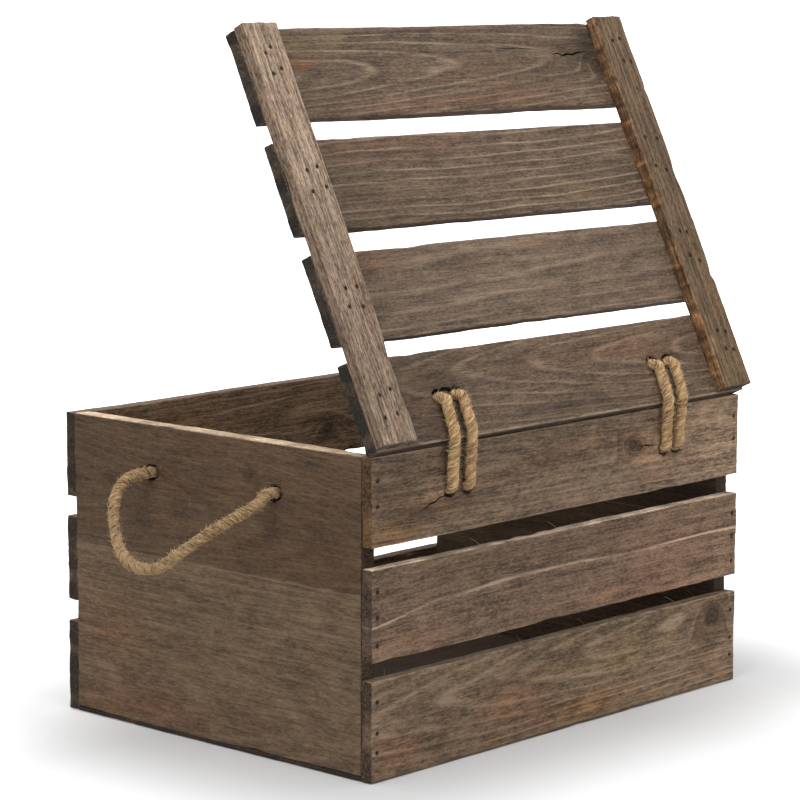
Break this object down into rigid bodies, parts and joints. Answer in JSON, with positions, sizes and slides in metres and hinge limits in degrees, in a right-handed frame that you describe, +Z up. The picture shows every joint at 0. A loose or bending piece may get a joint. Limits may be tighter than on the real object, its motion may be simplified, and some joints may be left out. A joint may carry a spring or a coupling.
{
  "type": "shipping crate",
  "caption": "Slatted wooden crate with an opening slatted lid on rope hinges and a rope handle at each end.",
  "frame": {"origin": "centre of the crate's underside", "axes": "+Z up, +X along the crate's length towards the right end board, +Y towards the hinge side"},
  "size_m": [0.53, 0.3099, 0.4945],
  "materials": {
    "wood_slat": "weathered, grey-brown stain, rough sawn",
    "wood_panel": "weathered, grey-brown stain, rough sawn",
    "wood_lid": "weathered, grey-brown stain, rough sawn",
    "wood_batten": "weathered, paler grey, open straight grain",
    "wood_base": "thin stained sheet",
    "rope": "three-strand twisted jute, hairy",
    "nail": "dull dark steel"
  },
  "bodies": {
    "crate": {"base_sheet": "wood_base", "end_right_lower": "wood_panel", "end_right_upper": "wood_panel", "end_left_lower": "wood_panel", "end_left_upper": "wood_panel", "front_slat_lower": "wood_slat", "front_slat_middle": "wood_slat", "front_slat_upper": "wood_slat", "back_slat_lower": "wood_slat", "back_slat_middle": "wood_slat", "back_slat_upper": "wood_slat", "front_nails": "nail", "back_nails": "nail", "base_nails": "nail", "hinge_rope_right": "rope", "hinge_rope_left": "rope", "handle_knots_right": "rope", "handle_knots_left": "rope"},
    "lid": {"lid_slat_hinge": "wood_lid", "lid_slat_second": "wood_lid", "lid_slat_third": "wood_lid", "lid_slat_front": "wood_lid", "lid_batten_right": "wood_batten", "lid_batten_left": "wood_batten", "lid_nails": "nail", "hinge_knots_right": "rope", "hinge_knots_left": "rope"},
    "handle_right": {"handle_rope_right": "rope"},
    "handle_left": {"handle_rope_left": "rope"}
  },
  "joints": [
    {"name": "lid_hinge", "type": "hinge", "parent": "crate", "child": "lid", "pos_m": [0, 0.147, 0.2215], "axis": [-1, 0, 0], "range_deg": [-64.3, 45.7], "deforming": ["hinge_rope_right", "hinge_rope_left"]},
    {"name": "handle_right_swing", "type": "hinge", "parent": "crate", "child": "handle_right", "pos_m": [0.2075, 0, 0.183], "axis": [0, -1, 0], "range_deg": [-45, 90]},
    {"name": "handle_left_swing", "type": "hinge", "parent": "crate", "child": "handle_left", "pos_m": [-0.2075, 0, 0.183], "axis": [0, 1, 0], "range_deg": [-45, 90]}
  ]
}
